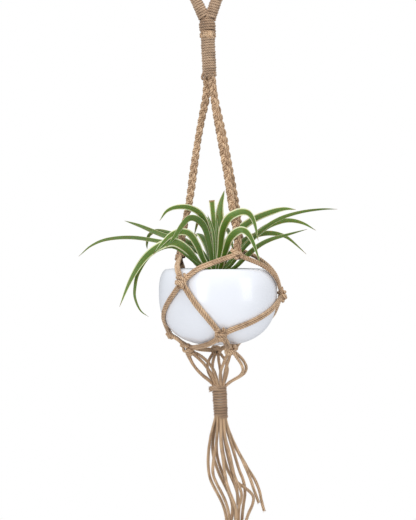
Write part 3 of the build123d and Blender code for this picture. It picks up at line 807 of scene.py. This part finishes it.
def make_leaf(name, widest, points, material):
    """A folded blade, thinner at its edges and its tip."""
    line = smooth_line(points)
    tangents = unit(np.gradient(line, axis=0))
    reach = line[-1] - line[0]
    level = unit(np.array((reach[1], -reach[0], 0.0)))
    facing = np.cross(tangents, np.array((0.0, 1.0, 0.0)))
    if np.sum(facing @ level) < 0:
        level = -level
    lean = 0.86 if abs(reach[1]) < 90 else 0.15
    parts = Parts()
    vertices, lay = [], []
    last = len(line) - 1
    ring = 2 * len(BLADE)
    for index, centre in enumerate(line):
        share = index / last
        across = level * (1 - lean) + facing[index] * lean
        across = unit(across - tangents[index] * (across @ tangents[index]))
        normal = np.cross(across, tangents[index])
        half = leaf_width(name, widest, share) / 2
        wave = 0.05 * sin(share * 17 + len(name))
        rises = LEAF_FOLD * np.abs(BLADE) * (1 - 0.5 * share) + wave * BLADE
        for side, rise in zip(BLADE, rises):
            vertices.append(centre + across * side * half + normal * half * rise)
            lay.append(((side + 1) / 2, share))
        for side, rise in zip(BLADE[::-1], rises[::-1]):
            thick = LEAF_THICK * (1 - 0.75 * abs(side)) * (1 - 0.6 * share)
            vertices.append(centre + across * side * half * 0.99 + normal * (half * rise - thick))
            lay.append(((side + 1) / 2, share))
    faces = ring_quads(last + 1, ring)
    faces.append(tuple(range(ring))[::-1])
    faces.append(tuple(last * ring + side for side in range(ring)))
    parts.put(np.array(vertices) * MM, faces, lay)
    parts.piece(f"leaf_{name}", material, "sling", "leaf", "spider_plant")


def make_crown(material):
    """The clump that the leaves grow from: a small mound with seven ribs."""
    rings, segments = 12, 36
    vertices = []
    for ring in range(rings + 1):
        rise = pi * ring / rings
        for step in range(segments):
            turn = tau * step / segments
            ribs = 1.0 + 0.16 * cos(7 * turn + 1.5 * rise) * sin(rise)
            wide = 12.0 * sin(rise) * ribs + 0.05
            vertices.append((CROWN[0] + wide * cos(turn), CROWN[1] + wide * sin(turn),
                             CROWN[2] + 12.5 * cos(rise)))
    faces = ring_quads(rings + 1, segments, flipped=True)
    faces.append(tuple(range(segments)))
    faces.append(tuple(rings * segments + step for step in range(segments))[::-1])
    lay = [((index % segments) / segments, 0.3) for index in range(len(vertices))]
    parts = Parts()
    parts.put(np.array(vertices) * MM, faces, lay)
    parts.piece("plant_crown", material, "sling", "leaf", "spider_plant")


# ---- net ----
# The routes are those of the CAD model, but for the top of the left leg, the left knot of row 3 and
# the pairs of row 3, which lie up to 6 mm away from it.
LEG_KNOTS = {"left": (-61, 0, -480), "front_right": (34, -60, -481), "back_right": (42, 62, -474)}
ROW_1 = {"front_left": on_pot(326, 22, KNOT_LIFT), "right": on_pot(90, 45, KNOT_LIFT),
         "back_left": on_pot(210, 25, KNOT_LIFT)}
ROW_2 = {"front": on_pot(3, 103, KNOT_LIFT), "left": on_pot(270, 107, KNOT_LIFT),
         "back_right": on_pot(150, 104, KNOT_LIFT)}
ROW_3 = {"left": (-51, -15, -636.5), "front_right": (17, -46, -638), "back": (-6, 48, -646)}

LEGS = {
    "left": [(-3.5, 0, -170), (-5, 0, -205), (-14, 1, -240), (-24, 2, -284), (-33, 1, -334),
        (-40, -1, -378), (-49, 0, -416), (-58, 1, -450)],
    "front_right": [(3.5, -6, -170), (5, -8, -205), (9, -15, -245), (16, -25, -288), (23, -36, -340),
        (27, -45, -388), (34, -54, -430), (37, -60, -460)],
    "back_right": [(3.5, 6, -170), (6, 9, -205), (13, 17, -245), (22, 27, -290), (30, 38, -340),
        (36, 48, -388), (41, 56, -430), (43, 61, -458)],
}


def pot_route(*places):
    """Route points over the pot from (azimuth, drop) places."""
    return [on_pot(azimuth, drop, ON_GLAZE) for azimuth, drop in places]


# From each knot, the points on the way to each knot of the row below.
ROW_1_PAIRS = {
    "left": {
        "front_left": [(-64, -26, -488), (-66, -52, -495), (-64, -74, -504), (-61.4, -83.3, -512.6)],
        "back_left": [(-63, 27, -488), (-62, 55, -494), (-60, 77, -502), (-57, 89, -514)],
    },
    "front_right": {
        "front_left": [(12, -72, -487), (-9, -81, -494), (-29, -86, -500), (-45, -90, -511)],
        "right": [(55, -62, -490), (75, -56, -499), (92.5, -44, -513), (102.5, -27, -531)],
    },
    "back_right": {
        "right": [(59, 58, -480), (79, 50, -493), (95, 38, -508), (106, 21, -527)],
        "back_left": [(24, 75, -483), (4, 84, -492), (-16, 90, -499), (-36, 95, -510)],
    },
}
ROW_2_PAIRS = {
    "front_left": {
        "left": pot_route((316, 40), (303, 60), (289, 80), (277, 97)),
        "front": pot_route((333, 40), (340, 57), (348, 74), (356, 90)),
    },
    "right": {
        "front": pot_route((76, 56), (60, 68), (43, 80), (27, 90), (13, 97)),
        "back_right": pot_route((97, 59), (103, 73), (112, 86), (124, 95), (138, 101)),
    },
    "back_left": {
        "left": pot_route((221, 43), (234, 63), (247, 84), (259, 100)),
        "back_right": pot_route((200, 43), (189, 62), (176, 81), (163, 96)),
    },
}
ROW_3_PAIRS = {
    "left": {
        "left": [(-73.5, -6, -618.5), (-62.5, -11, -629)],
        "back": [(-74, 15, -619.5), (-62, 29, -631.5), (-46, 39, -640), (-27, 45, -644)],
    },
    "front": {
        "left": [(-5, -77, -619), (-17, -61, -627), (-30, -44, -631), (-42, -28, -634)],
        "front_right": [(9, -78, -620), (13, -67, -630)],
    },
    "back_right": {
        "front_right": [(41, 58, -624), (33, 38, -634), (27, 16, -638), (26, -8, -641),
            (25, -28, -641)],
        "back": [(33, 73, -624), (21, 65, -636), (8, 56, -643)],
    },
}
KNOT_SIZES = {"leg_left": 0.98, "leg_front_right": 1.12, "leg_back_right": 1.0,
              "net_1_front_left": 1.22, "net_1_right": 1.15, "net_1_back_left": 1.05,
              "net_2_front": 1.22, "net_2_left": 0.78, "net_2_back_right": 1.0,
              "net_3_left": 1.32, "net_3_front_right": 1.16, "net_3_back": 1.05}


def side_by_side(points, centre):
    """The routes of two cords that lie next to each other on a surface round a centre."""
    routes = ([], [])
    last = len(points) - 1
    for index, point in enumerate(points):
        here = Vector(point)
        along = Vector(points[min(index + 1, last)]) - Vector(points[max(index - 1, 0)])
        across = along.cross(here - Vector(centre)).normalized() * (PAIR_GAP / 2)
        for route, side in zip(routes, (1, -1)):
            route.append(tuple(here + across * side))
    return routes


def make_net(jute):
    rows = (("1", LEG_KNOTS, ROW_1_PAIRS, ROW_1), ("2", ROW_1, ROW_2_PAIRS, ROW_2),
            ("3", ROW_2, ROW_3_PAIRS, ROW_3))
    for row, starts, groups, ends in rows:
        for name, pairs in groups.items():
            parts = Parts()
            for end, points in pairs.items():
                for route in side_by_side([starts[name], *points, ends[end]], POT_MIDDLE):
                    put_cord(parts, spline_points(route))
            parts.piece(f"net_{row}_{name}", jute, "sling", "jute_cord", f"net_pairs_{row}_{name}")
    for row, places in (("leg", LEG_KNOTS), ("1", ROW_1), ("2", ROW_2), ("3", ROW_3)):
        for name, place in places.items():
            label = f"leg_{name}" if row == "leg" else f"net_{row}_{name}"
            node = f"leg_knot_{name}" if row == "leg" else f"net_knot_{row}_{name}"
            up, out = knot_directions(place)
            size = KNOT_SIZES[label]
            centre = Vector(place) + out * max(0.0, size - 1.0) * CORD * 1.6
            parts = Parts()
            put_knot(parts, centre, up, out, size)
            parts.piece(f"knot_{label}", jute, "sling", "jute_cord", node)


# ---- legs ----
PLAIT_PITCH = 40.0
PLAIT_WIDE = 4.0
PLAIT_DEEP = 2.4
PLAIT_CORD = 4.7


def make_legs(jute):
    """Plaits of three cords round a fourth."""
    for number, (side, points) in enumerate(LEGS.items()):
        line = evenly(spline_points([*points, LEG_KNOTS[side]]), RING_STEP * MM)
        run = run_along(line)
        _, first, second = frames(line)
        parts = Parts()
        for strand in range(3):
            turn = run / (PLAIT_PITCH * MM) * tau + strand * tau / 3 + number
            loose = 1.0 + 0.12 * np.sin(run / MM / 23.0 + 2 * number)
            wide = PLAIT_WIDE * MM * loose * np.sin(turn)
            deep = PLAIT_DEEP * MM * loose * np.sin(2 * turn)
            path = line + first * wide[:, None] + second * deep[:, None]
            put_cord(parts, path, width=PLAIT_CORD)
        put_cord(parts, line, width=PLAIT_CORD * 0.8, hairy=0.3)
        parts.piece(f"plait_{side}", jute, "sling", "jute_cord", f"leg_plait_{side}")


# ---- gather wrap and tassel ----
GATHER_CORDS = {
    "left": [
        [(-57, -13, -642), (-52, -8, -655), (-44, -5, -669), (-33, -2, -682), (-21, 1, -692),
         (-12, 2.4, -702)],
        [(-54, -17, -642), (-50, -15, -657), (-42, -12, -671), (-31, -9, -684), (-20, -6, -693),
         (-12, -2.6, -702)],
        [(-50, -18, -642), (-40, -20, -650), (-29, -19, -661), (-20, -16, -674), (-13, -11, -687),
         (-9.6, -6.8, -702)],
        [(-50, -13, -641), (-38, -13, -646), (-26, -13, -655), (-15, -14, -668), (-8, -12, -684),
         (-5.4, -9, -702)],
    ],
    "front_right": [
        [(14, -43, -642), (8, -37, -655), (3, -30, -667), (-1, -22, -679), (-2, -14, -690),
         (-0.6, -9.3, -702)],
        [(18, -42, -643), (14, -35, -656), (10, -27, -667), (7, -19, -678), (5, -12, -689),
         (3.6, -6.8, -702)],
        [(21, -48, -642), (28, -45, -653), (35, -40, -664), (38, -31, -675), (34, -21, -684),
         (24, -12, -691), (13, -5.5, -697), (6.5, -2.6, -704)],
        [(22, -43, -641), (31, -38, -649), (39, -32, -659), (44, -22, -671), (41, -12, -681),
         (31, -4, -689), (18, 1, -695), (6.5, 2.6, -704)],
    ],
    "back": [
        [(-11, 46, -649), (-19, 41, -660), (-23, 34, -670), (-22, 25, -680), (-17, 15, -690),
         (-9.8, 7, -702)],
        [(-8, 44, -651), (-13, 37, -663), (-14, 30, -674), (-12, 21, -684), (-8, 14, -692),
         (-5.4, 9.3, -702)],
        [(-3, 44, -651), (-3, 37, -663), (-1, 29, -673), (0, 21, -683), (0, 14, -692),
         (-0.6, 9.3, -702)],
        [(-1, 47, -650), (7, 43, -660), (11, 35, -670), (12, 25, -680), (9, 15, -690), (3.8, 7, -702)],
    ],
}
TASSEL_CORDS = [
    [(-10.3, -1, -751), (-15, -1, -768), (-21, 0, -786), (-26, 1, -812), (-28, 1, -836),
     (-26, 1, -860), (-16, 2, -882), (-6, 3, -902), (0, 3, -924), (1, 2, -944)],
    [(-7.8, -5.7, -751), (-9, -8, -770), (-12, -10, -800), (-18, -11, -825), (-21, -11, -850),
     (-14, -12, -868), (-4, -12, -888), (3, -11, -908), (6, -10, -934), (5, -10, -958)],
    [(-9.4, 3.7, -751), (-13, 5, -770), (-17, 7, -790), (-20, 8, -814), (-15, 9, -838), (-8, 9, -858),
     (1, 9, -878), (9, 9, -896), (12, 8, -915), (8, 8, -936)],
    [(-3, -7.4, -751), (-3, -10, -772), (-5, -13, -800), (-2, -15, -824), (0, -15, -850),
     (4, -16, -874), (12, -17, -894), (18, -17, -914), (14, -17, -938), (12, -17, -962)],
    [(-5.3, -1.3, -751), (-5, -3, -772), (-3, -5, -800), (0, -7, -826), (7, -8, -852), (20, -9, -867),
     (36, -10, -878), (48, -11, -890), (46, -12, -904), (37, -13, -920), (31, -14, -938),
     (29, -14, -956)],
    [(1.8, -5.7, -751), (2, -8, -770), (3, -9, -792), (9, -10, -814), (13, -11, -838), (17, -13, -859),
     (26, -16, -877), (28, -17, -893), (21, -17, -908)],
    [(-0.7, -1.3, -751), (0, -1, -772), (2, 0, -796), (6, 0, -820), (11, 0, -845), (17, -1, -867),
     (21, -3, -886), (20, -5, -906)],
    [(4.3, -1.3, -751), (6, -1, -769), (9, 0, -788), (15, 0, -809), (20, 1, -829), (25, 1, -849),
     (32, 1, -866), (34, 0, -888), (29, -1, -910), (26, -2, -934), (25, -2, -956)],
    [(3.4, 3.7, -751), (6, 5, -769), (12, 6, -787), (19, 7, -805), (27, 7, -822), (35, 7, -842),
     (43, 6, -862), (49, 5, -884), (56, 5, -905)],
    [(-0.5, 7, -751), (3, 10, -771), (11, 13, -792), (21, 14, -813), (32, 15, -832), (42, 15, -852),
     (52, 14, -868), (59, 14, -888), (61, 14, -905), (65, 14, -921)],
    [(-5.5, 7, -751), (-8, 10, -771), (-12, 14, -796), (-13, 16, -822), (-7, 17, -846), (1, 17, -868),
     (8, 18, -890), (14, 17, -914), (16, 16, -939)],
    [(-3, 2.7, -751), (-4, 5, -772), (-5, 7, -796), (-3, 8, -820), (3, 8, -842), (12, 9, -862),
     (20, 9, -884), (23, 8, -908), (20, 8, -930), (21, 8, -950)],
]
GATHER_PITCH = 4.7
GATHER_COIL_RADII = [10.2, 10.4, 10.6, 10.4, 10.3, 10.2, 9.8]


def free_cord(name, route, jute, body, node, far_end):
    line = spline_points(route)
    parts = Parts()
    put_cord(parts, line, frayed=far_end == "bare")
    piece = parts.piece(name, jute, body, "jute_cord", node)


def bundle_core(name, height, jute, body, node):
    parts = Parts()
    stand_cords(parts, height, PIVOT_BUNDLE, GATHER_X)
    parts.piece(name, jute, body, "jute_cord", node)


def make_gather(jute, wrap_jute):
    for group, routes in GATHER_CORDS.items():
        for number, route in enumerate(routes, 1):
            free_cord(f"gather_{group}_{number}", route, jute, "sling",
                      f"gather_cord_{group}_{number}", "object")
    for number, route in enumerate(TASSEL_CORDS, 1):
        free_cord(f"tassel_{number}", route, jute, "tassel", f"tassel_cord_{number}",
                  "bare")
    bundle_core("gather_bundle", GATHER_TOP_Z, jute, "gather_pivot", "gather_core")
    bundle_core("tassel_bundle", GATHER_END_Z, jute, "tassel_pivot", "tassel_core")
    parts = Parts()
    heights = plumb(GATHER_END_Z - 9.0, GATHER_TOP_Z + 5.0, GATHER_X)
    put_cord(parts, coil(heights, GATHER_COIL_RADII, pitch=GATHER_PITCH, lean=0.9), width=WRAP_CORD)
    for rise in (0.0, -4.0):
        put_cord(parts, spline_points([(-5, -9, -703.5 + rise), (-11, -11, -703.5 + rise),
                                       (-16, -11.5, -704 + rise), (-20, -12, -705 + rise)]),
                 frayed=True)
    parts.piece("gather_wrapping", wrap_jute, "gather", "jute_wrap", "gather_wrap")


# ---- surroundings ----
FLOOR_REACH = 1.25        # metres to each side, and below the origin


def make_light(name, place, aim, size, power, colour=(1.0, 1.0, 1.0)):
    data = bpy.data.lights.new(name, "AREA")
    data.shape = "RECTANGLE"
    data.size, data.size_y = size
    data.energy = power
    data.color = colour
    lamp = new_object(name, data)
    lamp.location = place
    ahead = Vector(aim) - Vector(place)
    lamp.rotation_euler = ahead.to_track_quat("-Z", "Y").to_euler()


def make_floor():
    material, _, shader = new_material("studio_floor")
    set_inputs(shader, base_color=(0.82, 0.82, 0.83, 1.0), roughness=0.9)
    mesh = bpy.data.meshes.new("studio_floor")
    corners = [(-1, -1, -1), (1, -1, -1), (1, 1, -1), (-1, 1, -1)]
    mesh.from_pydata([[FLOOR_REACH * value for value in corner] for corner in corners], [],
                     [(0, 1, 2, 3)])
    mesh.materials.append(material)
    new_object("studio_floor", mesh)


def make_world():
    """White behind the planter, and a softer white for its light."""
    world = bpy.data.worlds.new("studio")
    world.use_nodes = True
    bpy.context.scene.world = world
    tree = world.node_tree
    seen = tree.nodes["Background"]
    set_inputs(seen, color=(1.0, 1.0, 1.0, 1.0), strength=1.0)
    lit = tree.nodes.new("ShaderNodeBackground")
    set_inputs(lit, color=(0.93, 0.96, 1.0, 1.0), strength=0.56)
    rays = tree.nodes.new("ShaderNodeLightPath")
    both = tree.nodes.new("ShaderNodeMixShader")
    tree.links.new(rays.outputs["Is Camera Ray"], both.inputs["Fac"])
    tree.links.new(lit.outputs["Background"], both.inputs[1])
    tree.links.new(seen.outputs["Background"], both.inputs[2])
    tree.links.new(both.outputs["Shader"], tree.nodes["World Output"].inputs["Surface"])


def make_studio():
    make_world()
    make_floor()
    middle = (0.0, 0.0, -0.5)
    make_light("key", (-1.3, -2.2, -0.15), middle, (0.8, 1.6), 23)
    make_light("fill", (2.1, -1.4, -0.2), middle, (1.0, 1.6), 16)
    make_light("top", (0.0, -0.5, 1.5), middle, (1.6, 1.2), 20)
    make_light("back", (0.6, 2.2, 0.4), middle, (1.6, 1.6), 5)
    bpy.context.scene.view_settings.view_transform = "Standard"


def main():
    make_camera()
    jute = jute_material("jute_cord", (0.27, 0.165, 0.085), (0.70, 0.50, 0.32), (0.95, 0.77, 0.56))
    wrap_jute = jute_material("jute_wrap", (0.28, 0.18, 0.105), (0.56, 0.405, 0.275),
                              (0.80, 0.64, 0.48))
    make_gather(jute, wrap_jute)
    make_eye(wrap_jute)
    make_upper_wrap(wrap_jute)
    make_waist_knot(jute)
    make_lower_wrap(wrap_jute)
    make_legs(jute)
    make_net(jute)
    make_pot(glaze_material())
    make_soil(soil_material())
    striped = leaf_material("leaf_striped", 0.41, (0.150, 0.265, 0.030), (0.055, 0.130, 0.012))
    plain = leaf_material("leaf_green", 0.50, (0.135, 0.240, 0.030), (0.050, 0.115, 0.012))
    for name, widest, points in LEAVES:
        make_leaf(name, widest, points, plain if name in PLAIN_GREEN else striped)
    make_crown(striped)
    make_studio()


main()
